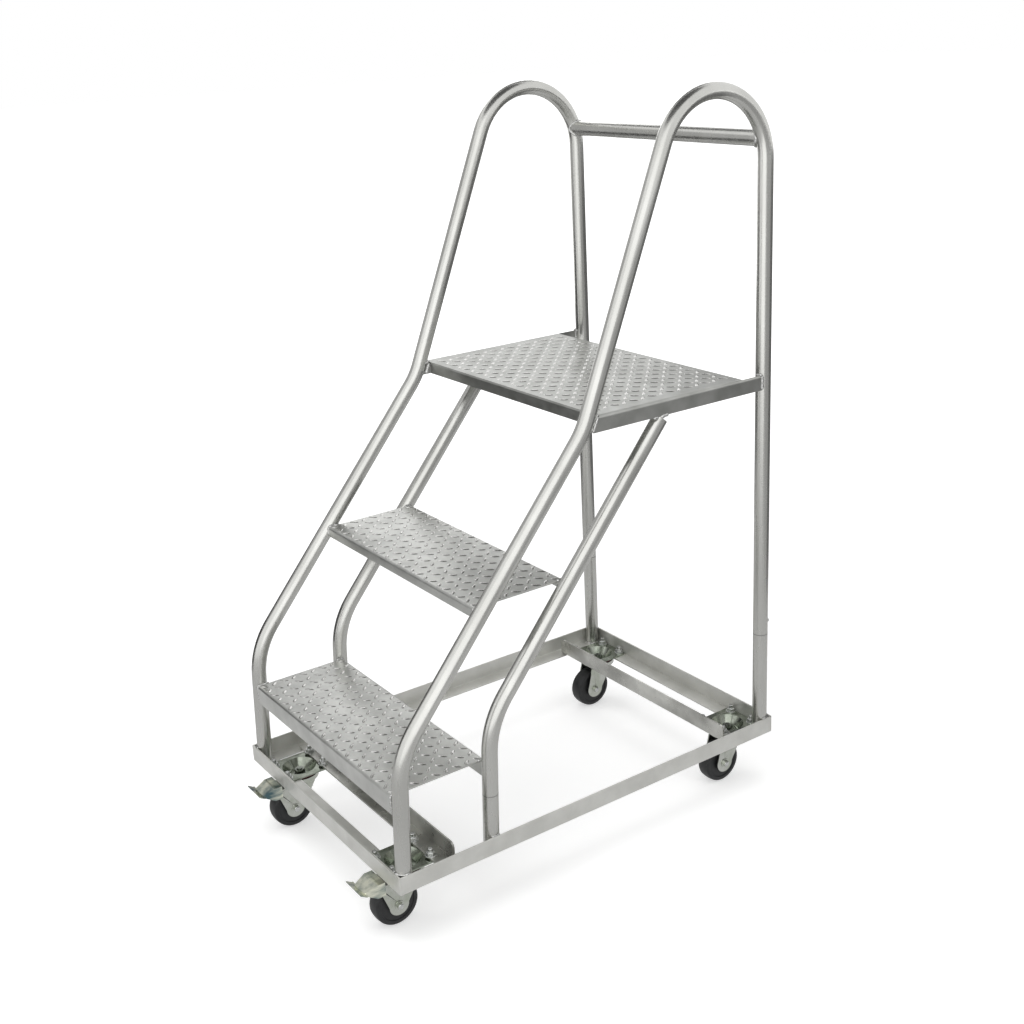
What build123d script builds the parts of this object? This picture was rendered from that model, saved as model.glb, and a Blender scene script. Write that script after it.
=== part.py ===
"""Mobile safety steps: bent tube hoops, chequer treads and an angle base on swivel casters.

Millimetres. X runs across the steps, Y from the climbing side to the back,
Z up. The origin is on the floor under the middle of the overall outline.
"""
import math
import os

from build123d import *

os.makedirs("parts", exist_ok=True)

# Heights of the walking surfaces
tread_rise = 249.0

# Base frame of angle sections
base_width = 505.0
base_depth = 758.0
base_bottom = 98.0
angle_leg = 30.0
angle_wall = 3.0
front_flange = 34.0
inner_overlap = 9.5
heel_radius = 2.5
front_pair = 109.0
rear_pair = 98.0
inner_corner = 9.0

# Bent round tube
tube_dia = 25.0
tube_wall = 2.0
foot_lean = 9.0
lower_bend_height = 311.0
lower_bend_radius = 140.0
upper_bend_run = 350.0
upper_bend_height = 725.0
upper_bend_radius = 120.0
rail_meeting_height = 1631.0
loop_radius = 106.6
stringer_setback = 156.0
rear_seam_height = 288.0
stringer_seam_height = 195.0
crossbar_rise = 30.0

# Folded chequer plate
plate_wall = 3.0
plate_bend = 4.0
tread_depth = 165.0
nosing_ahead = 10.0
lower_lip = 32.0
middle_lip = 17.0
deck_lip = 20.0
deck_flange = 25.0
deck_inset = 3.0
deck_rear_gap = 53.5
deck_edge_bend = 6.0
deck_corner_gap = 1.5
seat_gap = 0.2

# Swivel casters
wheel_dia = 75.0
wheel_width = 25.0
wheel_crown = 0.8
wheel_shoulder = 3.5
web_dia = 58.0
web_recess = 1.5
hub_dia = 24.0
caster_trail = 22.0
front_kingpin_inset = 50.25
rear_kingpin_inset = 43.5
front_caster_inset = 77.5
rear_caster_inset = 67.5
mount_length = 80.0
mount_width = 77.0
mount_wall = 2.5
mount_corner = 7.0
dish_dia = 58.0
dish_floor_dia = 40.0
dish_depth = 14.0
notch_gap = 1.0
race_play = 0.4
race_dia = 28.0
crown_dia = 64.0
crown_wall = 2.2
crown_edge = 3.0
rim_play = 5.0
ball_space = 2.4
fork_wall = 2.5
fork_gap = 3.0
fork_end_radius = 17.0
fork_back = 22.0
fork_front = 28.0
axle_dia = 8.0
axle_play = 0.3
axle_washer_dia = 16.0
axle_washer = 1.0
axle_head_dia = 12.0
axle_head = 4.0
kingpin_dia = 10.0
kingpin_washer_dia = 21.0
kingpin_washer = 1.5
kingpin_nut_dia = 18.0
kingpin_nut = 7.0
kingpin_stub = 2.0
kingpin_foot = 2.5

# Brake pedals on the two front casters
pedal_reach = 87.75
pedal_width = 47.0
pedal_knee_width = 31.0
pedal_wall = 2.0
pedal_pin_dia = 6.0
pedal_pin_ahead = 50.0
pedal_pin_drop = 9.0
ear_radius = 6.0
pedal_clearance = 9.0
pedal_drop = 8.0
pedal_start = 44.0
pedal_level = 58.0
pedal_flange = 23.0
pedal_tip_rise = 6.0
pedal_tip_length = 10.0

# Derived positions
base_top = base_bottom + angle_leg
shelf_top = base_bottom + angle_wall
mount_top = shelf_top + mount_wall
pedal_ahead = pedal_reach - front_kingpin_inset
base_front = pedal_ahead / 2 - base_depth / 2
base_back = base_front + base_depth
half_base = base_width / 2
hoop_x = half_base - angle_wall - tube_dia / 2
tread_half = hoop_x - tube_dia / 2
shelf_half = half_base - angle_leg
foot_y = base_front + angle_wall + tube_dia / 2
rear_y = base_back - angle_wall - tube_dia / 2
lower_bend_y = foot_y + foot_lean
upper_bend_y = lower_bend_y + upper_bend_run
middle_top = tread_rise + tread_rise
deck_top = middle_top + tread_rise
front_kingpin_y = base_front + front_kingpin_inset
rear_kingpin_y = base_back - rear_kingpin_inset
front_kingpin_x = half_base - front_caster_inset
rear_kingpin_x = half_base - rear_caster_inset
dish_floor = mount_top - dish_depth
dish_slope = (dish_dia - dish_floor_dia) / 2 / dish_depth
wall_offset = mount_wall * math.hypot(1, dish_slope) - mount_wall * dish_slope
dish_rim = dish_dia / 2 + wall_offset


def line_y(height, start, end):
    """Y where the straight line through two (y, z) points reaches a height."""
    share = (height - start[1]) / (end[1] - start[1])
    return start[0] + share * (end[0] - start[0])


foot_point = (foot_y, shelf_top)
lower_point = (lower_bend_y, lower_bend_height)
upper_point = (upper_bend_y, upper_bend_height)
apex_point = (rear_y, rail_meeting_height)


def loop_centre():
    """Centre (y, z) of the loop arc, tangent to the sloping rail and the rear post."""
    lean = math.atan2(rear_y - upper_bend_y, rail_meeting_height - upper_bend_height)
    drop = loop_radius / math.tan(lean / 2)
    return rear_y - loop_radius, rail_meeting_height - drop


def bent_tube(x, points, radii):
    """Hollow tube along a filleted path in the plane at x, cut flat at its foot."""
    with BuildPart() as tube:
        with BuildLine(Plane.YZ.offset(x)) as path:
            FilletPolyline(*points, radius=radii)
        start = Plane(origin=path.line @ 0, z_dir=path.line % 0)
        with BuildSketch(start):
            Circle(tube_dia / 2)
            Circle(tube_dia / 2 - tube_wall, mode=Mode.SUBTRACT)
        sweep()
    return tube


def hoop_points():
    foot = (line_y(base_bottom, foot_point, lower_point), base_bottom)
    return [foot, lower_point, upper_point, apex_point, (rear_y, rear_seam_height)]


def hoop(label, x):
    tube = bent_tube(x, hoop_points(), [lower_bend_radius, upper_bend_radius, loop_radius])
    with tube:
        split(bisect_by=Plane.XY.offset(shelf_top), keep=Keep.TOP)
    tube.part.label = label
    export_step(tube.part, f"parts/{label}.step")


def stringer_line(height):
    """Y of the stringer's centre line on its lower, nearly upright run."""
    return line_y(height, foot_point, lower_point) + stringer_setback


def stringer(label, x):
    """Bent tube from the seam up to the underside of the deck flange."""
    bend = (lower_bend_y + stringer_setback, lower_bend_height)
    top_height = deck_top - deck_flange - tube_dia / 4
    top = (line_y(top_height, lower_point, upper_point) + stringer_setback, top_height)
    start = (stringer_line(stringer_seam_height), stringer_seam_height)
    tube = bent_tube(x, [start, bend, top], [lower_bend_radius])
    with tube:
        split(bisect_by=Plane.XY.offset(deck_top - deck_flange), keep=Keep.BOTTOM)
    tube.part.label = label
    export_step(tube.part, f"parts/{label}.step")


def stringer_stub(label, x):
    """Lower length of the stringer, standing on the side rail's shelf."""
    start = (stringer_line(base_bottom), base_bottom)
    end = (stringer_line(stringer_seam_height), stringer_seam_height)
    with BuildPart() as tube:
        with BuildLine(Plane.YZ.offset(x)) as path:
            Line(start, end)
        with BuildSketch(Plane(origin=path.line @ 0, z_dir=path.line % 0)):
            Circle(tube_dia / 2)
            Circle(tube_dia / 2 - tube_wall, mode=Mode.SUBTRACT)
        sweep()
        split(bisect_by=Plane.XY.offset(shelf_top), keep=Keep.TOP)
    tube.part.label = label
    export_step(tube.part, f"parts/{label}.step")


def rear_stub(label, x):
    """Lower length of the rear post, from the rail's shelf to the seam."""
    with BuildPart() as tube:
        with BuildSketch(Plane.XY.offset(shelf_top)):
            with Locations((x, rear_y)):
                Circle(tube_dia / 2)
                Circle(tube_dia / 2 - tube_wall, mode=Mode.SUBTRACT)
        extrude(amount=rear_seam_height - shelf_top)
    tube.part.label = label
    export_step(tube.part, f"parts/{label}.step")


def crossbar():
    """Tube between the rear posts, its ends coped to their round outside."""
    centre_y, centre_z = loop_centre()
    bar_y = centre_y + math.sqrt(loop_radius**2 - crossbar_rise**2)
    bar_z = centre_z + crossbar_rise
    with BuildPart() as bar:
        with BuildSketch(Plane.YZ.offset(-hoop_x)):
            with Locations((bar_y, bar_z)):
                Circle(tube_dia / 2)
                Circle(tube_dia / 2 - tube_wall, mode=Mode.SUBTRACT)
        extrude(amount=2 * hoop_x)
        for x in (-hoop_x, hoop_x):
            with BuildLine(Plane.YZ.offset(x), mode=Mode.PRIVATE) as path:
                FilletPolyline(upper_point, apex_point, (rear_y, deck_top), radius=loop_radius)
            with BuildSketch(Plane(origin=path.line @ 0, z_dir=path.line % 0)):
                Circle(tube_dia / 2)
            sweep(path=path.line, mode=Mode.SUBTRACT)
    bar.part.label = "top_crossbar"
    export_step(bar.part, "parts/top_crossbar.step")


def inner_member(label, face_y, inward):
    """Angle lying on the caster plates: upright leg at face_y with rounded top corners."""
    ends = (Align.CENTER, Align.MIN if inward > 0 else Align.MAX)
    length = 2 * (shelf_half + inner_overlap)
    with BuildPart() as bar:
        with BuildSketch(Plane.XZ.offset(-face_y)) as upright:
            with Locations((0, mount_top)):
                Rectangle(length, angle_leg, align=(Align.CENTER, Align.MIN))
            fillet(upright.vertices().group_by(Axis.Y)[-1], inner_corner)
        extrude(amount=-inward * angle_wall)
        with BuildSketch(Plane.XY.offset(mount_top)):
            with Locations((0, face_y)):
                Rectangle(length, angle_leg, align=ends)
        extrude(amount=angle_wall)
        heel = bar.edges().filter_by(Axis.X).sort_by_distance((0, face_y, mount_top))[0]
        fillet(heel, heel_radius)
    bar.part.label = label
    export_step(bar.part, f"parts/{label}.step")


def end_member(label, face_y, inward, flange, kingpin_x, kingpin_y):
    """Angle across the front or back, its flange notched round the two caster bowls."""
    with BuildPart() as bar:
        with BuildSketch(Plane.XY.offset(base_bottom)):
            with Locations((0, face_y)):
                ends = (Align.CENTER, Align.MIN if inward > 0 else Align.MAX)
                Rectangle(base_width, angle_wall, align=ends)
        extrude(amount=angle_leg)
        with BuildSketch(Plane.XY.offset(base_bottom)):
            with Locations((0, face_y)):
                Rectangle(2 * shelf_half, flange, align=ends)
            with Locations((-kingpin_x, kingpin_y), (kingpin_x, kingpin_y)):
                Circle(dish_rim + notch_gap, mode=Mode.SUBTRACT)
        extrude(amount=angle_wall)
        heel = bar.edges().filter_by(Axis.X).sort_by_distance((0, face_y, base_bottom))[0]
        fillet(heel, heel_radius)
        corners = bar.edges().filter_by(Axis.Z).filter_by_position(
            Axis.Y, face_y - heel_radius / 2, face_y + heel_radius / 2
        )
        fillet(corners, heel_radius)
    bar.part.label = label
    export_step(bar.part, f"parts/{label}.step")


def side_rail(label, side):
    """Angle along one side: upright leg outside, shelf pointing in at the bottom."""
    length = base_depth - 2 * angle_wall
    outward = Align.MAX if side > 0 else Align.MIN
    with BuildPart() as bar:
        with BuildSketch(Plane.XZ.offset(-base_front - angle_wall)) as profile:
            with Locations((side * half_base, base_bottom)):
                Rectangle(angle_wall, angle_leg, align=(outward, Align.MIN))
                Rectangle(angle_leg, angle_wall, align=(outward, Align.MIN))
            corner = Vector(side * half_base, base_bottom)
            fillet(profile.vertices().sort_by_distance(corner)[0], heel_radius)
        extrude(amount=-length)
    bar.part.label = label
    export_step(bar.part, f"parts/{label}.step")


def folded_tread(label, top, front, depth, lip):
    """Channel of plate: walking face with a lip folded down front and rear."""
    with BuildPart() as tread:
        with BuildSketch(Plane.YZ.offset(-tread_half)) as profile:
            with Locations((front, top)):
                Rectangle(depth, lip, align=(Align.MIN, Align.MAX))
            outer = profile.vertices().group_by(Axis.Y)[-1]
            fillet(outer, plate_bend)
            with Locations((front + plate_wall, top - plate_wall)):
                inner_depth = depth - 2 * plate_wall
                Rectangle(inner_depth, lip, align=(Align.MIN, Align.MAX), mode=Mode.SUBTRACT)
        extrude(amount=2 * tread_half)
    tread.part.label = label
    export_step(tread.part, f"parts/{label}.step")


def deck():
    """Deep top tread: front and rear lips, side flanges running back to the rear posts."""
    slant = (rear_y - upper_bend_y) / (rail_meeting_height - upper_bend_height)
    tube_back = tube_dia / 2 * math.hypot(1, slant)
    front = line_y(deck_top, upper_point, apex_point) + tube_back + deck_corner_gap
    flange_foot = deck_top - deck_flange
    front_low = line_y(flange_foot, upper_point, apex_point) + tube_back + seat_gap
    back = rear_y - deck_rear_gap
    half = hoop_x + tube_dia / 2 - deck_inset
    reach = math.sqrt((tube_dia / 2) ** 2 - (half - plate_wall - hoop_x) ** 2)
    flange_back = rear_y - reach - seat_gap
    with BuildPart() as plate:
        with BuildSketch(Plane.XZ.offset(-front_low)) as profile:
            with Locations((0, deck_top)):
                Rectangle(2 * half, deck_flange, align=(Align.CENTER, Align.MAX))
            fillet(profile.vertices().group_by(Axis.Y)[-1], deck_edge_bend)
            with Locations((0, deck_top - plate_wall)):
                inside = 2 * (half - plate_wall)
                Rectangle(inside, deck_flange, align=(Align.CENTER, Align.MAX), mode=Mode.SUBTRACT)
        extrude(amount=front_low - flange_back)
        with BuildSketch(Plane.YZ.offset(-half)):
            with BuildLine():
                Polyline((front_low, flange_foot), (front, deck_top), (front_low, deck_top), close=True)
            make_face()
        extrude(amount=2 * half, mode=Mode.SUBTRACT)
        with BuildSketch(Plane.XY.offset(deck_top)):
            with Locations((0, back)):
                Rectangle(inside, flange_back, align=(Align.CENTER, Align.MIN))
        extrude(amount=-plate_wall, mode=Mode.SUBTRACT)
        for edge_y, inward in ((front, Align.MIN), (back, Align.MAX)):
            with BuildSketch(Plane.XY.offset(deck_top - plate_wall)):
                with Locations((0, edge_y)):
                    Rectangle(2 * tread_half, plate_wall, align=(Align.CENTER, inward))
            extrude(amount=plate_wall - deck_lip)
    plate.part.label = "deck_plate"
    export_step(plate.part, "parts/deck_plate.step")


bowl_bottom = dish_floor - mount_wall
crown_top = bowl_bottom - ball_space
crown_bottom = crown_top - crown_wall
wheel_radius = wheel_dia / 2
leg_inner = wheel_width / 2 + fork_gap
leg_outer = leg_inner + fork_wall
pin_z = crown_bottom - pedal_pin_drop


def upright_axis(x, y):
    return Axis((x, y, 0), (0, 0, 1))


def turned_section(x, y, corners):
    """Half section (radius, height) beside the upright axis at x, y."""
    with BuildSketch(Plane.XZ.offset(-y)) as section:
        with BuildLine():
            Polyline(*((x + radius, height) for radius, height in corners), close=True)
        make_face()
    return section.sketch


def mount_plate(label, x, y):
    """Caster plate: rounded rectangle with a conical dish that holds the kingpin nut."""
    bowl = (
        (dish_dia / 2, mount_top),
        (dish_rim + mount_wall, mount_top),
        (dish_rim + mount_wall, shelf_top),
        (dish_rim, shelf_top),
        (dish_floor_dia / 2 + wall_offset, bowl_bottom),
        (kingpin_dia / 2, bowl_bottom),
        (kingpin_dia / 2, dish_floor),
        (dish_floor_dia / 2, dish_floor),
    )
    with BuildPart() as plate:
        with BuildSketch(Plane.XY.offset(shelf_top)):
            with Locations((x, y)):
                RectangleRounded(mount_width, mount_length, mount_corner)
                Circle(dish_rim, mode=Mode.SUBTRACT)
        extrude(amount=mount_wall)
        revolve(turned_section(x, y, bowl), axis=upright_axis(x, y))
    plate.part.label = label
    export_step(plate.part, f"parts/{label}.step")


def kingpin(label, x, y):
    """Swivel bolt: shank through the race, washer and nut in the dish, round foot below."""
    washer_top = dish_floor + kingpin_washer
    nut_top = washer_top + kingpin_nut
    with BuildPart() as pin:
        with BuildSketch(Plane.XY.offset(crown_bottom - race_play)):
            with Locations((x, y)):
                Circle(kingpin_dia / 2)
        extrude(amount=nut_top + kingpin_stub - crown_bottom + race_play)
        with BuildSketch(Plane.XY.offset(dish_floor)):
            with Locations((x, y)):
                Circle(kingpin_washer_dia / 2)
        extrude(amount=kingpin_washer)
        with BuildSketch(Plane.XY.offset(washer_top)):
            with Locations((x, y)):
                RegularPolygon(kingpin_nut_dia / 2, 6)
        extrude(amount=kingpin_nut)
        with BuildSketch(Plane.XY.offset(crown_bottom - race_play)):
            with Locations((x, y)):
                Circle(kingpin_nut_dia / 2)
        extrude(amount=-kingpin_foot)
    pin.part.label = label
    export_step(pin.part, f"parts/{label}.step")


def leg_profile(x, y, ears):
    """Side outline of one fork leg in the plane at x, with or without the pedal ear."""
    axle_y = y - caster_trail
    pin_y = y - pedal_pin_ahead
    corners = [
        (y + fork_back, crown_bottom),
        (axle_y + fork_end_radius, wheel_radius),
        (axle_y - fork_end_radius, wheel_radius),
    ]
    if ears:
        corners += [(pin_y, pin_z - ear_radius), (pin_y, pin_z + ear_radius)]
    corners.append((y - fork_front, crown_bottom))
    with BuildSketch(Plane.YZ.offset(x)) as outline:
        with BuildLine():
            Polyline(*corners, close=True)
        make_face()
        with Locations((axle_y, wheel_radius)):
            Circle(fork_end_radius)
            Circle(axle_dia / 2, mode=Mode.SUBTRACT)
        if ears:
            with Locations((pin_y, pin_z)):
                Circle(ear_radius)
                Circle(pedal_pin_dia / 2, mode=Mode.SUBTRACT)
    return outline


def fork(label, x, y, ears):
    """Pressed fork: crown cup round the dish, two tapering legs down to the axle."""
    bore = kingpin_dia / 2 + axle_play
    rim_top = base_bottom - rim_play
    cup_inner = crown_dia / 2 - crown_wall
    cup = (
        (bore, crown_bottom),
        (crown_dia / 2 - crown_edge, crown_bottom),
        (crown_dia / 2, crown_bottom + crown_edge),
        (crown_dia / 2, rim_top),
        (cup_inner, rim_top),
        (cup_inner, crown_bottom + crown_edge),
        (cup_inner - crown_edge + crown_wall, crown_top),
        (race_dia / 2, crown_top),
        (race_dia / 2, bowl_bottom - race_play),
        (bore, bowl_bottom - race_play),
    )
    with BuildPart() as body:
        revolve(turned_section(x, y, cup), axis=upright_axis(x, y))
        for start in (x - leg_outer, x + leg_inner):
            outline = leg_profile(start, y, ears)
            extrude(outline.sketch, amount=fork_wall)
    body.part.label = label
    export_step(body.part, f"parts/{label}.step")


def wheel(label, x, y):
    """Solid wheel: slightly crowned tread, round shoulders, shallow web and plain hub."""
    hub_half = leg_inner - axle_play
    half = wheel_width / 2
    edge_radius = wheel_radius - wheel_crown
    bore = axle_dia / 2 + axle_play
    web_half = half - web_recess
    with BuildPart() as tyre:
        with BuildSketch(Plane((x, y - caster_trail, wheel_radius))):
            with BuildLine():
                Polyline(
                    (-half, edge_radius - wheel_shoulder),
                    (-half, web_dia / 2),
                    (-web_half, web_dia / 2),
                    (-web_half, hub_dia / 2),
                    (-hub_half, hub_dia / 2),
                    (-hub_half, bore),
                    (hub_half, bore),
                    (hub_half, hub_dia / 2),
                    (web_half, hub_dia / 2),
                    (web_half, web_dia / 2),
                    (half, web_dia / 2),
                    (half, edge_radius - wheel_shoulder),
                )
                for side in (-1, 1):
                    RadiusArc(
                        (side * half, edge_radius - wheel_shoulder),
                        (side * (half - wheel_shoulder), edge_radius),
                        side * -wheel_shoulder,
                    )
                ThreePointArc(
                    (wheel_shoulder - half, edge_radius),
                    (0, wheel_radius),
                    (half - wheel_shoulder, edge_radius),
                )
            make_face()
        revolve(axis=Axis((x, y - caster_trail, wheel_radius), (1, 0, 0)))
    tyre.part.label = label
    export_step(tyre.part, f"parts/{label}.step")


def axle(label, x, y):
    """Axle bolt held in the fork legs, a washer and a hexagon outside each leg."""
    centre = (y - caster_trail, wheel_radius)
    with BuildPart() as bolt:
        with BuildSketch(Plane.YZ.offset(x - leg_outer)):
            with Locations(centre):
                Circle(axle_dia / 2)
        extrude(amount=2 * leg_outer)
        for way in (-1, 1):
            face = x + way * leg_outer
            with BuildSketch(Plane.YZ.offset(face)):
                with Locations(centre):
                    Circle(axle_washer_dia / 2)
            extrude(amount=way * axle_washer)
            with BuildSketch(Plane.YZ.offset(face + way * axle_washer)):
                with Locations(centre):
                    RegularPolygon(axle_head_dia / 2, 6)
            extrude(amount=way * axle_head)
    bolt.part.label = label
    export_step(bolt.part, f"parts/{label}.step")


def wedge(x, near, far, mode):
    """Loft between two upright rectangles, each given as (y, half width, low, high)."""
    ends = []
    for along, half, low, high in (near, far):
        with BuildSketch(Plane.XZ.offset(-along)) as end:
            with Locations((x, low)):
                Rectangle(2 * half, high - low, align=(Align.CENTER, Align.MIN))
        ends.append(end.sketch)
    loft(ends, mode=mode)


def pedal(label, x, y):
    """Pressed brake pedal: narrowing channel with a flared toe, pinned to the fork ears."""
    inner = leg_outer + seat_gap
    outer = inner + pedal_wall
    top = base_bottom - pedal_clearance
    foot = top - pedal_flange
    toe_top = top - pedal_drop
    toe_foot = toe_top - pedal_wall
    back = y - pedal_start
    level_end = y - pedal_level
    tip = y - pedal_reach
    knee = tip + pedal_tip_length
    knee_half = pedal_knee_width / 2
    with BuildPart() as lever:
        wedge(x, (back, outer, foot, top), (level_end, outer, foot, top), Mode.ADD)
        lip = toe_foot - pedal_wall
        wedge(x, (level_end, outer, foot, top), (knee, knee_half, lip, toe_top), Mode.ADD)
        under = foot - pedal_wall
        roof = top - pedal_wall
        wedge(x, (back, inner, under, roof), (level_end, inner, under, roof), Mode.SUBTRACT)
        nose = (knee, knee_half - pedal_wall, lip - pedal_wall, toe_foot)
        wedge(x, (level_end, inner, under, roof), nose, Mode.SUBTRACT)
        with BuildSketch(Plane.YZ.offset(x - outer)):
            with Locations((y - pedal_pin_ahead, pin_z)):
                Circle(pedal_pin_dia / 2)
        extrude(amount=2 * outer)
        with BuildSketch(Plane.YZ.offset(x - pedal_width / 2)):
            with BuildLine():
                Polyline(
                    (knee + pedal_wall, toe_top),
                    (knee, toe_top),
                    (tip, toe_top + pedal_tip_rise),
                    (tip, toe_foot + pedal_tip_rise),
                    (knee, toe_foot),
                    (knee + pedal_wall, toe_foot),
                    close=True,
                )
            make_face()
        extrude(amount=pedal_width)
    lever.part.label = label
    export_step(lever.part, f"parts/{label}.step")


# Hoops, stringers and their stubs, one of each on either side
for side_name, side in (("left", -1), ("right", 1)):
    hoop(f"side_hoop_{side_name}", side * hoop_x)
    rear_stub(f"rear_stub_{side_name}", side * hoop_x)
    stringer(f"stringer_{side_name}", side * hoop_x)
    stringer_stub(f"stringer_stub_{side_name}", side * hoop_x)
    side_rail(f"base_rail_{side_name}", side)

crossbar()

# Base members across the frame
end_member("base_front_member", base_front, 1, front_flange, front_kingpin_x, front_kingpin_y)
end_member("base_rear_member", base_back, -1, angle_leg, rear_kingpin_x, rear_kingpin_y)
inner_member("base_inner_front", base_front + front_pair, -1)
inner_member("base_inner_rear", base_back - rear_pair, 1)

# Treads and deck
treads = (
    ("tread_lower", tread_rise, (foot_point, lower_point), lower_lip),
    ("tread_middle", middle_top, (lower_point, upper_point), middle_lip),
)
for label, height, tube_run, lip in treads:
    nosing = line_y(height, *tube_run) - nosing_ahead
    folded_tread(label, height, nosing, tread_depth, lip)
deck()

# Casters: corner name, side, kingpin position in plan, brake fitted
casters = (
    ("fl", -front_kingpin_x, front_kingpin_y, True),
    ("fr", front_kingpin_x, front_kingpin_y, True),
    ("rl", -rear_kingpin_x, rear_kingpin_y, False),
    ("rr", rear_kingpin_x, rear_kingpin_y, False),
)
for corner, x, y, braked in casters:
    mount_plate(f"caster_plate_{corner}", x, y)
    kingpin(f"caster_kingpin_{corner}", x, y)
    fork(f"caster_fork_{corner}", x, y, braked)
    wheel(f"caster_wheel_{corner}", x, y)
    axle(f"caster_axle_{corner}", x, y)
    if braked:
        pedal(f"brake_pedal_{corner}", x, y)
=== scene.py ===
"""Mobile safety steps in bright zinc plate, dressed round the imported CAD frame."""

import math

import bmesh
import bpy
from mathutils import Matrix, Vector


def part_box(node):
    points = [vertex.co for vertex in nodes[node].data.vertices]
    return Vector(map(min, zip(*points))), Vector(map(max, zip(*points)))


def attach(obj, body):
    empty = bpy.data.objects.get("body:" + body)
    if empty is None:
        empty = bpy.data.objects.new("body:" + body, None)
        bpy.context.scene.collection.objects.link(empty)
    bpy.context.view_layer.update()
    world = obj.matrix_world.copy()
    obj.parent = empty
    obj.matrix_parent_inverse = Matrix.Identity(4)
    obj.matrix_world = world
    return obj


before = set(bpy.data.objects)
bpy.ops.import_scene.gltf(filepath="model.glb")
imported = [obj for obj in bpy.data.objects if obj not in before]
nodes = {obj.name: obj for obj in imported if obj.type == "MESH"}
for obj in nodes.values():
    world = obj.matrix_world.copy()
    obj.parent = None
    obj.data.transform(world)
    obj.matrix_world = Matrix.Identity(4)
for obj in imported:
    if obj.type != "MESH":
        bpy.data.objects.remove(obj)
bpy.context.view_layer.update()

# Side hoops, stringers, their lower stubs and the crossbar: round steel tube, bent cold
# on a roller bender, welded up and then zinc plated as one piece, which leaves a bright
# satin skin with faint lengthwise drawing lines and cloudy patches.

TUBE_RADIUS = 0.0125
TUBE_COLOUR = (0.66, 0.66, 0.635)
TUBE_SHADE = (0.57, 0.57, 0.545)
HOOP_X = 0.237
EDGE_SOFTNESS = 0.0006
WELD_DISTANCE = 0.00002
SMOOTH_ANGLE = math.radians(32)


def link(tree, source, target):
    tree.links.new(source, target)


def fresh_material(name):
    material = bpy.data.materials.new(name)
    material.use_nodes = True
    tree = material.node_tree
    return material, tree, tree.nodes["Principled BSDF"]


def object_noise(tree, scale, detail, stretch=(1, 1, 1)):
    """Noise in the piece's own coordinates, stretched along its axes."""
    place = tree.nodes.new("ShaderNodeTexCoord")
    mapping = tree.nodes.new("ShaderNodeMapping")
    mapping.inputs["Scale"].default_value = stretch
    noise = tree.nodes.new("ShaderNodeTexNoise")
    noise.inputs["Scale"].default_value = scale
    noise.inputs["Detail"].default_value = detail
    link(tree, place.outputs["Object"], mapping.inputs["Vector"])
    link(tree, mapping.outputs["Vector"], noise.inputs["Vector"])
    return noise.outputs["Fac"]


def ramp(tree, value, low, high, at=(0.35, 0.65)):
    """Colours or grey levels spread over a noise value."""
    node = tree.nodes.new("ShaderNodeValToRGB")
    for element, place, level in zip(node.color_ramp.elements, at, (low, high)):
        element.position = place
        element.color = (*level, 1) if isinstance(level, tuple) else (level, level, level, 1)
    link(tree, value, node.inputs["Fac"])
    return node.outputs["Color"]


def bump(tree, shader, height, strength, distance):
    node = tree.nodes.new("ShaderNodeBump")
    node.inputs["Strength"].default_value = strength
    node.inputs["Distance"].default_value = distance
    link(tree, height, node.inputs["Height"])
    link(tree, node.outputs["Normal"], shader.inputs["Normal"])


def plated_steel(
    name, bright, shade, gloss, cloud, grain, stretch=(1, 1, 1), relief=0.12, metal=1.0
):
    """Zinc plate: cloudy colour, uneven gloss and a fine grain."""
    material, tree, shader = fresh_material(name)
    shader.inputs["Metallic"].default_value = metal
    clouds = object_noise(tree, cloud, 3, stretch)
    link(tree, ramp(tree, clouds, shade, bright), shader.inputs["Base Color"])
    haze = object_noise(tree, cloud * 3, 3, stretch)
    link(tree, ramp(tree, haze, gloss[0], gloss[1]), shader.inputs["Roughness"])
    bump(tree, shader, object_noise(tree, grain, 3, stretch), relief, 0.0002)
    return material


def soften(piece, width=EDGE_SOFTNESS):
    """Join the split corners, round the sharp edges a little and shade what is left smooth."""
    weld = piece.modifiers.new("joined", "WELD")
    weld.merge_threshold = WELD_DISTANCE
    if width:
        bevel = piece.modifiers.new("rounded_edge", "BEVEL")
        bevel.width = width
        bevel.segments = 2
        bevel.limit_method = "ANGLE"
        bevel.angle_limit = SMOOTH_ANGLE
        even = piece.modifiers.new("flat_faces_stay_flat", "WEIGHTED_NORMAL")
        even.keep_sharp = True
    else:
        crisp = piece.modifiers.new("crisp_ends", "EDGE_SPLIT")
        crisp.split_angle = SMOOTH_ANGLE
    for face in piece.data.polygons:
        face.use_smooth = True


def dress(names, material, width=EDGE_SOFTNESS):
    for name in names:
        piece = nodes[name]
        piece.data.materials.clear()
        piece.data.materials.append(material)
        soften(piece, width)


tube_zinc = plated_steel(
    "bright_zinc_tube", TUBE_COLOUR, TUBE_SHADE, (0.23, 0.29), 16, 420, (1, 1, 0.2), 0.025
)
tube_names = [
    f"{kind}_{side}"
    for kind in ("side_hoop", "rear_stub", "stringer", "stringer_stub")
    for side in ("left", "right")
]
dress([*tube_names, "top_crossbar"], tube_zinc, 0)

# Base frame: hot rolled steel angle, 30 by 30 by 3 mm, mitred and butt welded at the
# corners and plated with the rest, duller and a little warmer than the tubes. The two
# inner members are the same zinc painted darker and cloudier, to meet the photograph's
# tone: the darker tone is painted shade, the clouds the mottling of their plating.

ANGLE_COLOUR = (0.78, 0.78, 0.745)
ANGLE_SHADE = (0.69, 0.69, 0.655)
CLOUDED_PAINTED_SHADE_LIGHT = (0.72, 0.72, 0.68)
CLOUDED_PAINTED_SHADE_DARK = (0.4, 0.4, 0.375)
ANGLE_SOFTNESS = 0.001

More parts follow.
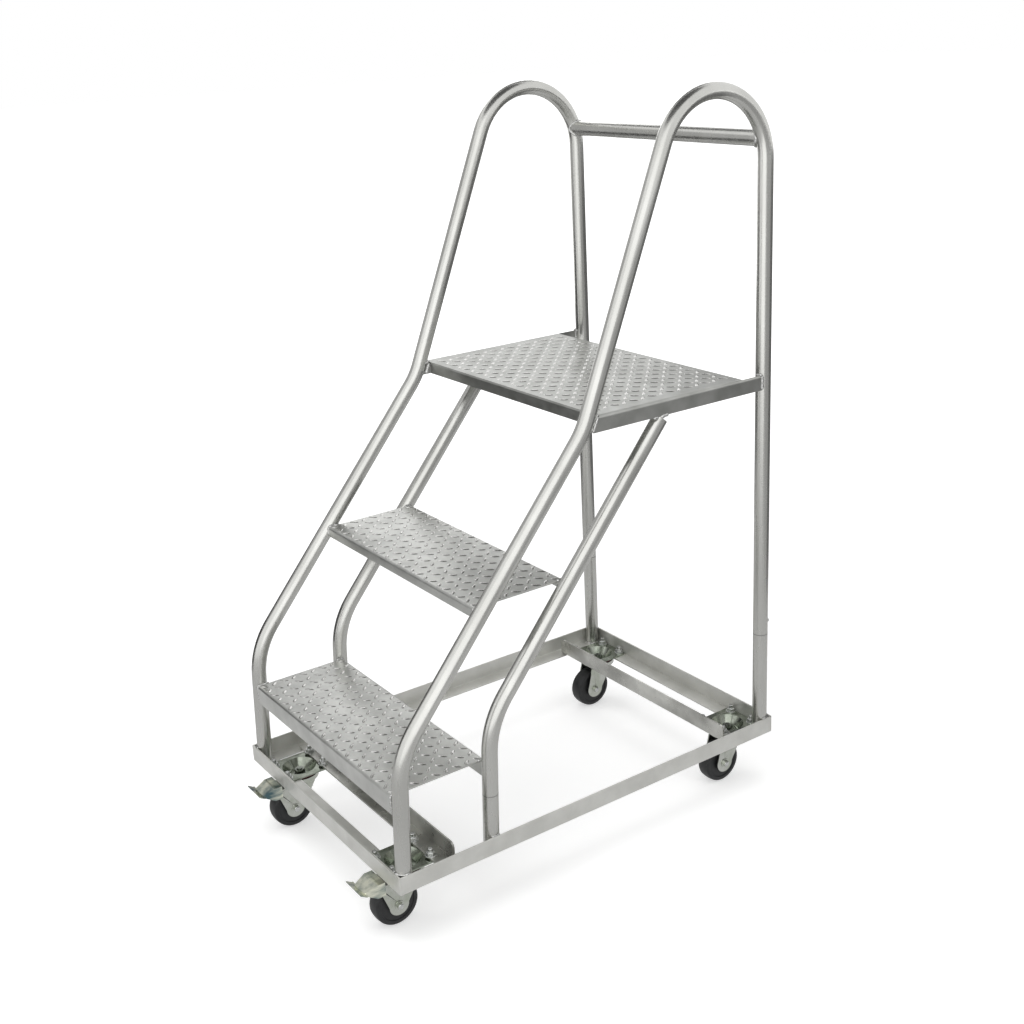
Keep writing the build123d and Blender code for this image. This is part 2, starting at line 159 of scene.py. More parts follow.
angle_zinc = plated_steel(
    "satin_zinc_angle", ANGLE_COLOUR, ANGLE_SHADE, (0.33, 0.46), 26, 500, (1, 1, 1), 0.08, 0.7
)
base_names = (
    "base_rail_left",
    "base_rail_right",
    "base_front_member",
    "base_rear_member",
    "base_inner_front",
    "base_inner_rear",
)
dress(base_names, angle_zinc, ANGLE_SOFTNESS)
# Inner members: the angle zinc painted darker, which is painted shade, with clouds.
inner_painted_shade_zinc = plated_steel(
    "painted_shade_clouded_angle",
    CLOUDED_PAINTED_SHADE_LIGHT,
    CLOUDED_PAINTED_SHADE_DARK,
    (0.24, 0.36),
    15,
    500,
    (1, 1, 1),
    0.08,
    0.85,
)
for name in ("base_inner_front", "base_inner_rear"):
    nodes[name].data.materials[0] = inner_painted_shade_zinc

# Treads and deck: raised-pattern steel plate folded in a press, the lens-shaped lugs
# rolled in two directions by turns, then plated. The plate is satin grey and the lugs
# are brighter. The deck's plate is painted darker to meet the photograph's tone, which is painted
# shade.

PLATE_COLOUR = (0.68, 0.685, 0.66)
PLATE_SHADE = (0.55, 0.555, 0.535)
DECK_PAINTED_SHADE_LIGHT = (0.48, 0.485, 0.465)
DECK_PAINTED_SHADE_DARK = (0.37, 0.375, 0.355)
PLATE_GLOSS = (0.28, 0.35)
PLATE_CLOUD = 24
PLATE_GRAIN = 600
LUG_PITCH_X = 0.0196
LUG_PITCH_Y = 0.0184
LUG_LENGTH = 0.0172
LUG_WIDTH = 0.0064
LUG_MARGIN = 0.0075
LUG_SIDES = 14
LUG_PROFILE = ((1.0, -0.0001), (0.78, 0.0004), (0.5, 0.0008), (0.22, 0.001))

plate_zinc = plated_steel(
    "raised_pattern_plate",
    PLATE_COLOUR,
    PLATE_SHADE,
    PLATE_GLOSS,
    PLATE_CLOUD,
    PLATE_GRAIN,
    (1, 1, 1),
    0.06,
    0.95,
)
lug_zinc = plated_steel(
    "polished_lugs", (0.76, 0.76, 0.74), (0.62, 0.62, 0.6), (0.12, 0.19), 90, 600, (1, 1, 1), 0.04
)
# Deck plate: the tread plate's zinc painted darker, which is painted shade.
deck_painted_shade_zinc = plated_steel(
    "painted_shade_deck_plate",
    DECK_PAINTED_SHADE_LIGHT,
    DECK_PAINTED_SHADE_DARK,
    PLATE_GLOSS,
    PLATE_CLOUD,
    PLATE_GRAIN,
    (1, 1, 1),
    0.06,
    0.95,
)
dress(("tread_lower", "tread_middle"), plate_zinc, 0.0008)
dress(("deck_plate",), deck_painted_shade_zinc, 0.0008)


def hand_over(name, mesh, material, body):
    """Turn a bmesh into a shaded object that rides on a body of the frame."""
    data = bpy.data.meshes.new(name)
    mesh.to_mesh(data)
    mesh.free()
    for face in data.polygons:
        face.use_smooth = True
    piece = bpy.data.objects.new(name, data)
    bpy.context.scene.collection.objects.link(piece)
    data.materials.append(material)
    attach(piece, body)
    return piece


def add_ring(mesh, points):
    return [mesh.verts.new(point) for point in points]


def bridge(mesh, first, second, closed=True):
    count = len(first)
    for i in range(count if closed else count - 1):
        j = (i + 1) % count
        mesh.faces.new((first[i], first[j], second[j], second[i]))


def add_lug(mesh, centre, angle):
    """One lens-shaped lug: pointed oval foot, smaller oval top."""
    turn = Matrix.Rotation(angle, 3, "Z")
    rings = []
    for share, height in LUG_PROFILE:
        outline = []
        for i in range(LUG_SIDES):
            swing = math.tau * i / LUG_SIDES
            along = math.cos(swing) * LUG_LENGTH / 2
            across = math.sin(swing) * abs(math.sin(swing)) ** 0.5 * LUG_WIDTH / 2
            spot = Vector((along * (share + 1) / 2, across * share, height))
            outline.append(centre + turn @ spot)
        rings.append(add_ring(mesh, outline))
    for lower, upper in zip(rings, rings[1:]):
        bridge(mesh, lower, upper)
    mesh.faces.new(rings[-1])


def lug_field(name, node, half_width, start_y, end_y, phase):
    """Rows of lugs over a plate, turned one way and the other in a chequer."""
    mesh = bmesh.new()
    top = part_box(node)[1].z
    columns = int(half_width / LUG_PITCH_X) + 1
    rows = int((end_y - start_y - 2 * LUG_MARGIN) / LUG_PITCH_Y) + 1
    first_y = (start_y + end_y - (rows - 1) * LUG_PITCH_Y) / 2
    for row in range(rows):
        for column in range(-columns, columns + 1):
            x = column * LUG_PITCH_X + phase
            if abs(x) > half_width - LUG_MARGIN:
                continue
            way = 1 if (row + column) % 2 else -1
            centre = Vector((x, first_y + row * LUG_PITCH_Y, top))
            add_lug(mesh, centre, way * math.pi / 4)
    return hand_over(name, mesh, lug_zinc, "frame")


for label, node in (("lower", "tread_lower"), ("middle", "tread_middle")):
    low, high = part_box(node)
    lug_field(f"lugs_{label}", node, high.x, low.y, high.y, 0.001)
DECK_FRONT_EDGE = 0.0382
DECK_REAR_EDGE = 0.3288
DECK_LUG_EDGE = 0.238
lug_field("lugs_deck", "deck_plate", DECK_LUG_EDGE, DECK_FRONT_EDGE, DECK_REAR_EDGE, 0.001)

# Casters: pressed plate with a dish, ball race, fork and brake pedal, zinc plated and
# passivated, so the surface is smoother than the frame and carries a thin yellow-green
# tint. The plates and kingpins are coloured darker than the forks. On the pedals the
# tint is spread into near white and near black streaks, which are painted reflection.

CASTER_COLOUR = (0.63, 0.64, 0.605)
CASTER_TINT = (0.5, 0.53, 0.46)
DISH_COLOUR = (0.42, 0.45, 0.39)
DISH_TINT = (0.24, 0.27, 0.22)
KINGPIN_COLOUR = (0.38, 0.4, 0.36)
KINGPIN_TINT = (0.2, 0.22, 0.19)
# Pedal tones: painted highlight and painted dark reflection, tinted yellow-green and blue.
PEDAL_PAINTED_HIGHLIGHT_TINT = (0.9, 0.91, 0.76)
PEDAL_PAINTED_DARK_TINT = (0.1, 0.17, 0.19)
CASTER_SOFTNESS = 0.0004

caster_zinc = plated_steel(
    "passivated_caster_zinc", CASTER_COLOUR, CASTER_TINT, (0.16, 0.27), 45, 400, (1, 1, 1), 0.05
)
dish_zinc = plated_steel(
    "passivated_dish_zinc", DISH_COLOUR, DISH_TINT, (0.12, 0.22), 60, 400, (1, 1, 1), 0.05
)
kingpin_zinc = plated_steel(
    "dark_kingpin_zinc", KINGPIN_COLOUR, KINGPIN_TINT, (0.1, 0.2), 80, 400, (1, 1, 1), 0.05
)
corners = ("fl", "fr", "rl", "rr")
bodies = {"fl": "front_left", "fr": "front_right", "rl": "rear_left", "rr": "rear_right"}
for corner in corners:
    dress((f"caster_fork_{corner}", f"caster_axle_{corner}"), caster_zinc, CASTER_SOFTNESS)
    dress((f"caster_plate_{corner}",), dish_zinc, CASTER_SOFTNESS)
    dress((f"caster_kingpin_{corner}",), kingpin_zinc, CASTER_SOFTNESS)
# Pedal zinc: streaks of painted reflection over the passivation tint.
pedal_painted_reflection = plated_steel(
    "tinted_pedal_painted_reflection",
    PEDAL_PAINTED_HIGHLIGHT_TINT,
    PEDAL_PAINTED_DARK_TINT,
    (0.05, 0.1),
    75,
    400,
    (0.6, 0.3, 1),
    0.015,
)
dress(("brake_pedal_fl", "brake_pedal_fr"), pedal_painted_reflection, 0.0006)

# Wheels: solid wheels moulded in black plastic with a shallow web, matt and faintly
# mottled.

wheel_black, tree, shader = fresh_material("moulded_black_wheel")
mottle = object_noise(tree, 70, 5)
wheel_tones = ramp(tree, mottle, (0.012, 0.013, 0.014), (0.026, 0.027, 0.028))
link(tree, wheel_tones, shader.inputs["Base Color"])
link(tree, ramp(tree, mottle, 0.38, 0.55), shader.inputs["Roughness"])
bump(tree, shader, object_noise(tree, 900, 4), 0.1, 0.0003)
dress([f"caster_wheel_{corner}" for corner in corners], wheel_black, 0.0005)

# Plate bolts: four galvanised M8 bolts through each caster plate, button heads below and
# a washer and hexagon nut above, on the inner angle's flange or on the plate itself.

BOLT_SPREAD_X = 0.026
BOLT_SPREAD_Y = 0.034
WASHER_RADIUS = 0.009
NUT_RADIUS = 0.0075
SHANK_RADIUS = 0.004
ROUND_SIDES = 24
HEX_SIDES = 6

bolt_zinc = plated_steel(
    "bolt_zinc", (0.68, 0.69, 0.68), (0.56, 0.57, 0.56), (0.2, 0.32), 150, 700, (1, 1, 1), 0.08
)


def turned(mesh, centre, profile, sides, frame_turn=None, twist=0.0):
    """Stack of rings (radius, height) about an upright axis, closed at both ends."""
    frame_turn = frame_turn or Matrix.Identity(3)
    rings = []
    for radius, height in profile:
        outline = []
        for i in range(sides):
            swing = twist + math.tau * i / sides
            spot = Vector((math.cos(swing) * radius, math.sin(swing) * radius, height))
            outline.append(centre + frame_turn @ spot)
        rings.append(add_ring(mesh, outline))
    for lower, upper in zip(rings, rings[1:]):
        bridge(mesh, lower, upper)
    mesh.faces.new(list(reversed(rings[0])))
    mesh.faces.new(rings[-1])


def flat_faces(piece):
    for face in piece.data.polygons:
        face.use_smooth = False


def plate_bolt(mesh, x, y, seat, underside, twist):
    top = Vector((x, y, seat))
    turned(mesh, top, ((WASHER_RADIUS, 0), (WASHER_RADIUS, 0.0012), (0.0086, 0.0015)), ROUND_SIDES)
    nut = ((0.0069, 0.0015), (NUT_RADIUS, 0.0021), (NUT_RADIUS, 0.0058), (0.0066, 0.0065))
    turned(mesh, top, nut, HEX_SIDES, twist=twist)
    tip = ((SHANK_RADIUS, 0.006), (SHANK_RADIUS, 0.0117), (0.0032, 0.0125))
    turned(mesh, top, tip, ROUND_SIDES)
    below = Vector((x, y, underside))
    head = ((0.0024, -0.0034), (0.0052, -0.0028), (0.0068, -0.0012), (0.007, 0))
    turned(mesh, below, head, ROUND_SIDES)


shelf_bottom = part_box("base_front_member")[0].z
for corner in corners:
    plate_low, plate_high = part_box(f"caster_plate_{corner}")
    middle = (plate_low + plate_high) / 2
    inner = "front" if corner[0] == "f" else "rear"
    inner_low, inner_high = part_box(f"base_inner_{inner}")
    flange_top = plate_high.z + 0.003
    mesh = bmesh.new()
    for i, (way_x, way_y) in enumerate(((-1, -1), (1, -1), (1, 1), (-1, 1))):
        y = middle.y + way_y * BOLT_SPREAD_Y
        on_inner = inner_low.y < y < inner_high.y
        seat = flange_top if on_inner else plate_high.z
        underside = plate_high.z - 0.0025 if on_inner else shelf_bottom
        plate_bolt(mesh, middle.x + way_x * BOLT_SPREAD_X, y, seat, underside, 0.4 * i + 0.2)
    flat_faces(hand_over(f"plate_bolts_{corner}", mesh, bolt_zinc, "frame"))

# Swivel seals: a dark red moulded ring closes the ball race between each caster's dish
# and its crown.

SEAL_INNER = 0.0266
SEAL_OUTER = 0.0308
SEAL_LOW = 0.0937
SEAL_HIGH = 0.0964
seal_red, tree, shader = fresh_material("seal_red")
seal_tones = ramp(tree, object_noise(tree, 200, 3), (0.06, 0.012, 0.018), (0.11, 0.02, 0.03))
link(tree, seal_tones, shader.inputs["Base Color"])
shader.inputs["Roughness"].default_value = 0.5
for corner in corners:
    pin_low, pin_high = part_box(f"caster_kingpin_{corner}")
    mesh = bmesh.new()
    profile = (
        (SEAL_INNER, SEAL_LOW),
        (SEAL_OUTER, SEAL_LOW),
        (SEAL_OUTER, SEAL_HIGH - 0.0006),
        (SEAL_OUTER - 0.0006, SEAL_HIGH),
        (SEAL_INNER, SEAL_HIGH),
    )
    rings = []
    for radius, height in profile:
        outline = []
        for i in range(2 * ROUND_SIDES):
            swing = math.tau * i / (2 * ROUND_SIDES)
            x = (pin_low.x + pin_high.x) / 2 + math.cos(swing) * radius
            y = (pin_low.y + pin_high.y) / 2 + math.sin(swing) * radius
            outline.append(Vector((x, y, height)))
        rings.append(add_ring(mesh, outline))
    for lower, upper in zip(rings, rings[1:] + rings[:1]):
        bridge(mesh, lower, upper)
    hand_over(f"seal_{corner}", mesh, seal_red, "frame")

# Axle domes: the riveted ends of each wheel bolt, a low dome on the flat head.

DOME = ((0.0048, 0.0), (0.0046, 0.0006), (0.0036, 0.0013), (0.002, 0.0017), (0.0007, 0.0018))
for corner in corners:
    low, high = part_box(f"caster_axle_{corner}")
    mesh = bmesh.new()
    for end_x, way in ((low.x, -1), (high.x, 1)):
        outward = Matrix.Rotation(way * math.pi / 2, 3, "Y")
        seat = Vector((end_x, (low.y + high.y) / 2, (low.z + high.z) / 2))
        turned(mesh, seat, DOME, ROUND_SIDES, outward)
    hand_over(f"axle_domes_{corner}", mesh, bolt_zinc, f"fork_{bodies[corner]}")

# Welds: short gas-shielded beads where tube meets tube, plate or angle, laid down before
# plating, so they shine like the tube but keep their ripples.

WELD_RIPPLE = 0.0021
WELD_STEP = 0.0007
WELD_SIDES = 9
FOOT_TOP = 0.101
HOOP_RUNS = ((-0.34475, 0.101), (-0.33575, 0.311), (0.01425, 0.725), (0.38225, 1.631))
STRINGER_BEHIND = 0.156
REAR_POST_Y = 0.38225

weld_zinc = plated_steel(
    "weld_zinc", (0.72, 0.72, 0.71), (0.5, 0.5, 0.49), (0.18, 0.34), 300, 900, (1, 1, 1), 0.2
)


def tube_y(z):
    """Y of the hoop's centre line at a height on its front runs."""
    for (y0, z0), (y1, z1) in zip(HOOP_RUNS, HOOP_RUNS[1:]):
        if z <= z1:
            return y0 + (y1 - y0) * (z - z0) / (z1 - z0)
    return REAR_POST_Y


def even_path(points):
    """The same line with points every weld step."""
    spots = [points[0]]
    for start, end in zip(points, points[1:]):
        count = max(1, int((end - start).length / WELD_STEP))
        spots += [start.lerp(end, (i + 1) / count) for i in range(count)]
    return spots


def weld(mesh, points, width, seed=0):
    """A rippled bead along a line, thinning at its ends."""
    spots = even_path([Vector(point) for point in points])
    rings = []
    run = 0.0
    for i, spot in enumerate(spots):
        ahead = (spots[min(i + 1, len(spots) - 1)] - spots[max(i - 1, 0)]).normalized()
        side = ahead.orthogonal().normalized()
        if rings:
            side = (last_side - ahead * ahead.dot(last_side)).normalized()
            run += (spot - spots[i - 1]).length
        last_side = side
        over = ahead.cross(side)
        end_share = min(1.0, 0.45 + 0.55 * min(i, len(spots) - 1 - i) / 3)
        wobble = 0.12 * math.sin(run * 700 + seed) + 0.16 * math.cos(math.tau * run / WELD_RIPPLE)
        radius = width / 2 * end_share * (1 + wobble)
        outline = []
        for k in range(WELD_SIDES):
            swing = math.tau * k / WELD_SIDES
            outline.append(spot + (side * math.cos(swing) + over * math.sin(swing)) * radius)
        rings.append(add_ring(mesh, outline))
    for first, second in zip(rings, rings[1:]):
        bridge(mesh, first, second)
    mesh.faces.new(list(reversed(rings[0])))
    mesh.faces.new(rings[-1])


def arc(centre, radius_x, radius_y, start, end, count=30):
    """Points round an upright tube's foot, angles in degrees from +X."""
    x, y, z = centre
    turns = [math.radians(start + (end - start) * i / count) for i in range(count + 1)]
    return [(x + radius_x * math.cos(t), y + radius_y * math.sin(t), z) for t in turns]


FOOT_BEAD = TUBE_RADIUS + 0.0006
LEG_BEAD = TUBE_RADIUS + 0.0008
leg_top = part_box("base_rail_right")[1].z + 0.0006
mesh = bmesh.new()
for side in (-1, 1):
    inward = 180 if side > 0 else 0
    x = side * HOOP_X
    quarter = 45 * side
    hoop_y = HOOP_RUNS[0][0]
    for y, middle, reach, width, seed in (
        (hoop_y, inward - quarter, 128, 0.0042, 1),
        (hoop_y + STRINGER_BEHIND, inward, 150, 0.004, 2),
        (REAR_POST_Y, inward + quarter, 128, 0.0042, 3),
    ):
        foot = (x, y, FOOT_TOP + 0.0008)
        weld(mesh, arc(foot, FOOT_BEAD, FOOT_BEAD, middle - reach, middle + reach), width, seed)
    for y, start, end in (
        (tube_y(leg_top), -105, 25),
        (tube_y(leg_top) + STRINGER_BEHIND, -35, 35),
        (REAR_POST_Y, -25, 105),
    ):
        first, last = (start, end) if side > 0 else (180 - end, 180 - start)
        weld(mesh, arc((x, y, leg_top), LEG_BEAD, LEG_BEAD, first, last), 0.0034, 4)
hand_over("foot_welds", mesh, weld_zinc, "frame")

mesh = bmesh.new()
for side in (-1, 1):
    for node in ("tread_lower", "tread_middle"):
        low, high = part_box(node)
        top = high.z
        x = side * (high.x - 0.0002)
        foot = top - (high.z - low.z) * 0.85
        front = tube_y(top)
        behind = high.y
        weld(mesh, ((x, front - 0.0095, top), (x, front + 0.011, top + 0.0003)), 0.0046, 4)
        weld(mesh, ((x, low.y + 0.0004, top), (x, low.y + 0.0006, foot)), 0.0038, 5)
        weld(mesh, ((x, behind - 0.013, top + 0.0003), (x, behind + 0.0002, top)), 0.0044, 6)
        weld(mesh, ((x, behind, top), (x, behind, foot)), 0.0036, 7)
hand_over("tread_welds", mesh, weld_zinc, "frame")

FLANGE_INSIDE = 0.2425
STRINGER_BEAD_X = 0.2464
deck_low, deck_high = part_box("deck_plate")
mesh = bmesh.new()
for side in (-1, 1):
    top = deck_high.z
    foot = deck_low.z
    edge = side * (deck_high.x - 0.0018)
    flange = side * FLANGE_INSIDE
    front = deck_low.y
    fold = DECK_FRONT_EDGE
    edge_line = ((edge, front + 0.0002, foot + 0.001), (edge, fold - 0.001, top - 0.0015))
    weld(mesh, edge_line, 0.0048, 8)
    weld(mesh, ((flange, front - 0.0006, foot + 0.001), (flange, fold - 0.0016, top)), 0.0044, 18)
    centre = (side * HOOP_X, tube_y(top), top + 0.0002)
    lean = (90 - 65, 90 + 80) if side > 0 else (90 - 80, 90 + 65)
    weld(mesh, arc(centre, 0.0135, 0.0153, *lean), 0.0044, 9)
    lip_top = (side * 0.2252, fold - 0.003, top - 0.001)
    lip_foot = (side * 0.2262, fold - 0.0095, foot + 0.006)
    weld(mesh, (lip_top, lip_foot), 0.0062, 10)
    post = side * (deck_high.x - 0.0004)
    back = deck_high.y
    post_line = ((post, back - 0.0002, foot + 0.0012), (post, back - 0.0002, top - 0.0012))
    weld(mesh, post_line, 0.0052, 11)
    weld(mesh, ((post, back - 0.001, top), (side * 0.2355, back - 0.002, top - 0.001)), 0.0044, 12)
    flange_line = ((flange, back - 0.001, top - 0.002), (flange, back - 0.001, foot + 0.002))
    weld(mesh, flange_line, 0.004, 13)
    end_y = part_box("stringer_right")[1].y - 0.0165
    for x, starts, ends, width, seed in (
        (side * STRINGER_BEAD_X, (-0.013, -0.0008), (-0.004, -0.001), 0.0048, 14),
        (side * STRINGER_BEAD_X, (0.001, -0.0012), (0.016, 0.001), 0.0058, 24),
        (side * 0.243, (-0.012, -0.0004), (0.013, -0.0004), 0.0044, 15),
    ):
        line = [(x, end_y + along, foot + lift) for along, lift in (starts, ends)]
        weld(mesh, line, width, seed)
hand_over("deck_welds", mesh, weld_zinc, "frame")

bar_low, bar_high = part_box("top_crossbar")
bar_y = (bar_low.y + bar_high.y) / 2
bar_z = (bar_low.z + bar_high.z) / 2
mesh = bmesh.new()
for side in (-1, 1):
    saddle = []
    for i in range(41):
        swing = math.tau * i / 40
        across = TUBE_RADIUS * math.cos(swing) * 0.97
        x = side * (HOOP_X - math.sqrt(TUBE_RADIUS**2 - across**2) - 0.0006)
        reach = TUBE_RADIUS + 0.0005
        saddle.append((x, bar_y + reach * math.cos(swing), bar_z + reach * math.sin(swing)))
    weld(mesh, saddle, 0.004, 16)
hand_over("crossbar_welds", mesh, weld_zinc, "frame")

mesh = bmesh.new()
for side in (-1, 1):
    for node, leg_y in (("base_inner_front", -1), ("base_inner_rear", 1)):
        low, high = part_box(node)
        leg = high.y if leg_y < 0 else low.y
        x = side * (high.x + 0.0002)
        z = low.z - 0.0008
        for start, end in ((0.002, 0.009), (0.017, 0.025)):
            weld(mesh, ((x, leg + leg_y * start, z), (x, leg + leg_y * end, z)), 0.0034, 17)
hand_over("base_welds", mesh, weld_zinc, "frame")

# Tube joints: a fine dark line where the plated lower stubs plug into the posts and the
# stringers, and the dome-headed screw that holds each rear post above its stub.

SEAM_HALF = 0.00035
SEAM_PROUD = 0.00012
seam_dark, tree, shader = fresh_material("seam_shadow")
seam_tones = ramp(tree, object_noise(tree, 160, 3), (0.05, 0.05, 0.05), (0.12, 0.12, 0.12))
link(tree, seam_tones, shader.inputs["Base Color"])
shader.inputs["Roughness"].default_value = 0.6
mesh = bmesh.new()
radius = TUBE_RADIUS + SEAM_PROUD
for side, word in ((-1, "left"), (1, "right")):
    for tube in ("rear_stub", "stringer_stub"):
        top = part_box(f"{tube}_{word}")[1]
        y = REAR_POST_Y if tube == "rear_stub" else top.y - TUBE_RADIUS
        rings = []
        for lift in (-SEAM_HALF, SEAM_HALF):
            outline = []
            for i in range(2 * ROUND_SIDES):
                swing = math.tau * i / (2 * ROUND_SIDES)
                x = side * HOOP_X + math.cos(swing) * radius
                outline.append(Vector((x, y + math.sin(swing) * radius, top.z + lift)))
            rings.append(add_ring(mesh, outline))
        bridge(mesh, rings[0], rings[1])
hand_over("tube_seams", mesh, seam_dark, "frame")

SCREW_HEIGHT = 0.311
SCREW_LEAN = math.radians(57)
SCREW_DOME = (
    (0.0032, -0.0006),
    (0.0032, 0.0004),
    (0.0026, 0.0012),
    (0.0015, 0.0018),
    (0.0005, 0.002),
)
mesh = bmesh.new()
for side in (-1, 1):
    away_x = side * math.cos(SCREW_LEAN)
    away_y = math.sin(SCREW_LEAN)
    outward = Vector((away_x, away_y, 0)).to_track_quat("Z", "Y").to_matrix()
    x = side * HOOP_X + away_x * TUBE_RADIUS
    y = REAR_POST_Y + away_y * TUBE_RADIUS
    turned(mesh, Vector((x, y, SCREW_HEIGHT)), SCREW_DOME, ROUND_SIDES, outward)
hand_over("post_screws", mesh, bolt_zinc, "frame")

# Studio: white floor and sky with three soft boxes, and grey, dark and bright cards round
# the object that only the metal's reflections see, as used for bright metal on white.

FLOOR_SIZE = 60
floor_mesh = bmesh.new()
bmesh.ops.create_grid(floor_mesh, x_segments=1, y_segments=1, size=FLOOR_SIZE / 2)
floor_data = bpy.data.meshes.new("floor")
floor_mesh.to_mesh(floor_data)
floor_mesh.free()
floor = bpy.data.objects.new("floor", floor_data)
bpy.context.scene.collection.objects.link(floor)


def seen_directly(tree):
    """One for camera, mirror and glass rays, nought for the light that falls on things."""
    path = tree.nodes.new("ShaderNodeLightPath")
    total = path.outputs["Is Camera Ray"]
    for ray in ("Is Glossy Ray", "Is Transmission Ray"):
        either = tree.nodes.new("ShaderNodeMath")
        either.operation = "MAXIMUM"
        link(tree, total, either.inputs[0])
        link(tree, path.outputs[ray], either.inputs[1])
        total = either.outputs[0]
    return total


FLOOR_WHITE = 0.8
FLOOR_GLOW_NEAR = 0.5
FLOOR_GLOW_FAR = 1.0
NEAR = 1.2
FAR = 3.2
floor_paint, tree, shader = fresh_material("white_floor")
shader.inputs["Base Color"].default_value = (FLOOR_WHITE, FLOOR_WHITE, FLOOR_WHITE, 1)
shader.inputs["Roughness"].default_value = 0.9
shader.inputs["Specular IOR Level"].default_value = 0.0
shader.inputs["Emission Color"].default_value = (1, 1, 1, 1)
place = tree.nodes.new("ShaderNodeTexCoord")
spread = tree.nodes.new("ShaderNodeVectorMath")
spread.operation = "LENGTH"
link(tree, place.outputs["Object"], spread.inputs[0])
fade = tree.nodes.new("ShaderNodeMapRange")
fade.inputs["From Min"].default_value = NEAR
fade.inputs["From Max"].default_value = FAR
fade.inputs["To Min"].default_value = FLOOR_GLOW_NEAR
fade.inputs["To Max"].default_value = FLOOR_GLOW_FAR
link(tree, spread.outputs["Value"], fade.inputs["Value"])
glow = tree.nodes.new("ShaderNodeMath")
glow.operation = "MULTIPLY"
link(tree, seen_directly(tree), glow.inputs[0])
link(tree, fade.outputs["Result"], glow.inputs[1])
link(tree, glow.outputs[0], shader.inputs["Emission Strength"])
floor_data.materials.append(floor_paint)

ROOM_LIGHT = 0.5
world = bpy.data.worlds.new("studio")
bpy.context.scene.world = world
world.use_nodes = True
tree = world.node_tree
background = tree.nodes["Background"]
background.inputs["Color"].default_value = (1, 1, 1, 1)
level = tree.nodes.new("ShaderNodeMapRange")
level.inputs["To Min"].default_value = ROOM_LIGHT
level.inputs["To Max"].default_value = 1.0
link(tree, seen_directly(tree), level.inputs["Value"])
link(tree, level.outputs["Result"], background.inputs["Strength"])

OBJECT_CENTRE = Vector((0, 0, 0.55))


def soft_box(name, place, size, power):
    lamp = bpy.data.lights.new(name, "AREA")
    lamp.shape = "RECTANGLE"
    lamp.size, lamp.size_y = size
    lamp.energy = power
    holder = bpy.data.objects.new(name, lamp)
    holder.location = place
    holder.rotation_mode = "QUATERNION"
    holder.rotation_quaternion = (OBJECT_CENTRE - Vector(place)).to_track_quat("-Z", "Y")
    holder.visible_glossy = False
    bpy.context.scene.collection.objects.link(holder)


soft_box("overhead_box", (0.2, -0.3, 3.4), (2.6, 2.6), 44)
soft_box("left_box", (-2.2, -1.9, 1.9), (1.4, 2.2), 18)
soft_box("right_box", (3.0, 0.9, 1.6), (0.9, 2.0), 10)

# Each card: name, first and last azimuth in degrees, radius, foot and head heights, level.
# A card whose foot and head are at one height lies flat and reaches in to the middle.
CARD_STEP = math.radians(4)
CARD_MIDDLE = 0.01
cards = (
    ("mid_right", 12, 48, 1.3, 0.0, 1.05, 0.42),
    ("dark_right", 48, 125, 1.3, 0.0, 1.05, 0.16),
    ("grey_back", 125, 186, 1.3, 0.0, 0.6, 0.3),
    ("dark_left", 186, 238, 1.3, 0.0, 0.72, 0.06),
    ("grey_left", 172, 238, 1.3, 0.72, 1.9, 0.5),
    ("soft_left", 238, 292, 1.3, 0.25, 2.3, 1.1),
    ("bright_front", 292, 350, 1.3, 0.25, 2.3, 1.45),
    ("low_front", 238, 350, 1.3, 0.0, 0.25, 0.65),
    ("grey_right", 350, 372, 1.3, 0.0, 1.1, 0.5),
    ("floor_card", 0, 360, 1.28, 0.001, 0.001, 0.6),
    ("dark_ceiling", 0, 360, 1.0, 2.6, 2.6, 0.12),
    ("back_strip", 132, 168, 1.3, 1.3, 1.75, 2.0),
    ("dark_top", 120, 168, 1.3, 1.85, 2.6, 0.08),
)
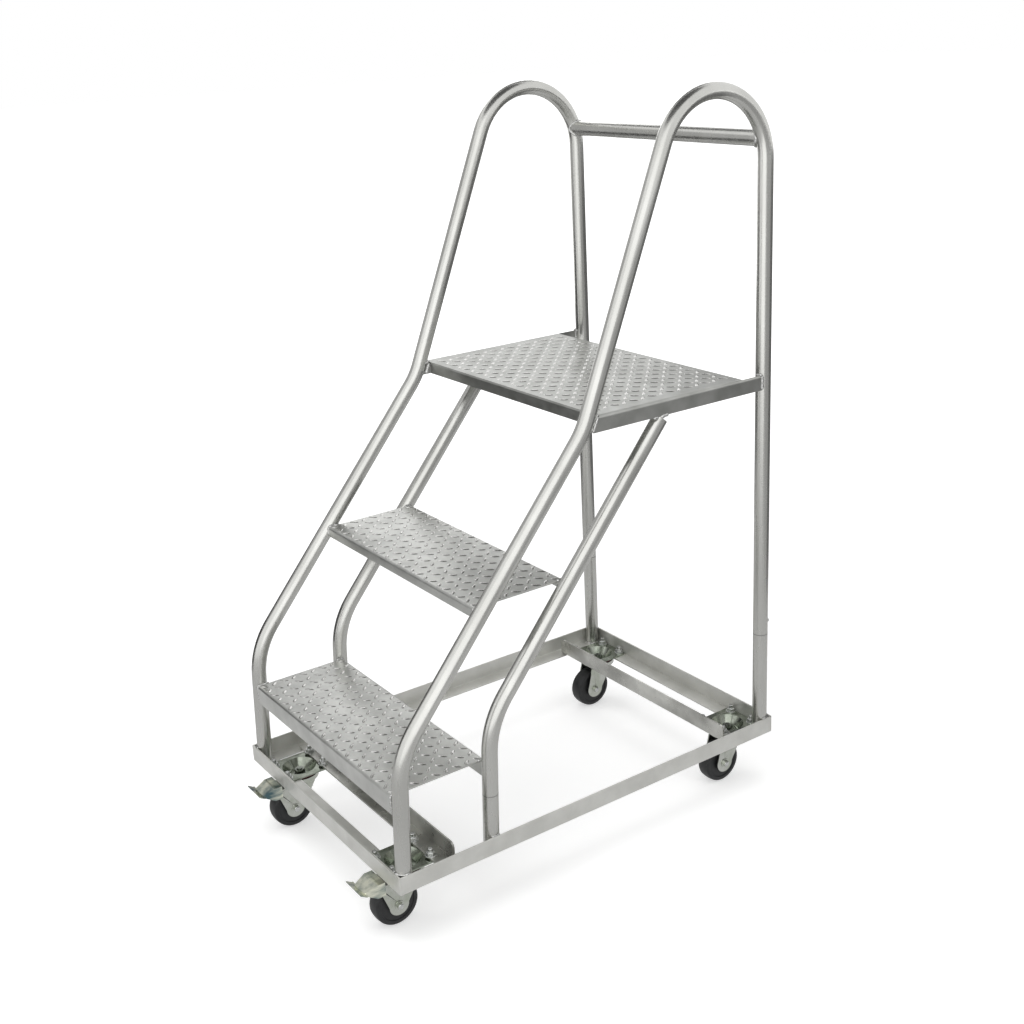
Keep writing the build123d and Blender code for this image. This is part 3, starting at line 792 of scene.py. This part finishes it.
for name, start, end, ring, foot, head, grey in cards:
    paint = bpy.data.materials.new(name)
    paint.use_nodes = True
    tree = paint.node_tree
    tree.nodes.clear()
    out = tree.nodes.new("ShaderNodeOutputMaterial")
    emit = tree.nodes.new("ShaderNodeEmission")
    emit.inputs["Strength"].default_value = grey
    link(tree, emit.outputs["Emission"], out.inputs["Surface"])
    mesh = bmesh.new()
    first = math.radians(start)
    spread = math.radians(end) - first
    count = int(spread / CARD_STEP)
    turns = [first + spread * i / count for i in range(count + 1)]
    edges = []
    for height, reach in ((foot, ring), (head, ring if head > foot else CARD_MIDDLE)):
        line = [Vector((math.cos(t) * reach, math.sin(t) * reach, height)) for t in turns]
        edges.append(add_ring(mesh, line))
    bridge(mesh, edges[0], edges[1], closed=False)
    data = bpy.data.meshes.new(name)
    mesh.to_mesh(data)
    mesh.free()
    data.materials.append(paint)
    card = bpy.data.objects.new(name, data)
    bpy.context.scene.collection.objects.link(card)
    card.visible_camera = False
    card.visible_diffuse = False
    card.visible_shadow = False
    card.visible_transmission = False

# Camera: the photograph's own viewing angle, found from the edges of the steps.

CAMERA_AZIMUTH = math.radians(55.599)
CAMERA_ELEVATION = math.radians(18.591)
CAMERA_ROLL = math.radians(-2.819)
CAMERA_DISTANCE = 2.167766
CAMERA_TARGET = Vector((0.066926, 0.011262, 0.609454))
FOCAL_PIXELS = 1360.06
AXIS_PIXEL = (518.293, 479.722)
IMAGE_PIXELS = 1024
SENSOR_WIDTH = 36

away = Vector(
    (
        math.sin(CAMERA_AZIMUTH) * math.cos(CAMERA_ELEVATION),
        -math.cos(CAMERA_AZIMUTH) * math.cos(CAMERA_ELEVATION),
        math.sin(CAMERA_ELEVATION),
    )
)
level_right = Vector((math.cos(CAMERA_AZIMUTH), math.sin(CAMERA_AZIMUTH), 0))
level_up = away.cross(level_right)
right = level_right * math.cos(CAMERA_ROLL) + level_up * math.sin(CAMERA_ROLL)
up = away.cross(right)
lens = bpy.data.cameras.new("camera")
lens.sensor_width = SENSOR_WIDTH
lens.lens = FOCAL_PIXELS / IMAGE_PIXELS * SENSOR_WIDTH
lens.shift_x = (IMAGE_PIXELS / 2 - AXIS_PIXEL[0]) / IMAGE_PIXELS
lens.shift_y = (AXIS_PIXEL[1] - IMAGE_PIXELS / 2) / IMAGE_PIXELS
camera = bpy.data.objects.new("camera", lens)
turn = Matrix((right, up, away)).transposed().to_4x4()
camera.matrix_world = Matrix.Translation(CAMERA_TARGET + away * CAMERA_DISTANCE) @ turn
bpy.context.scene.collection.objects.link(camera)
bpy.context.scene.camera = camera
bpy.context.scene.view_settings.view_transform = "Standard"
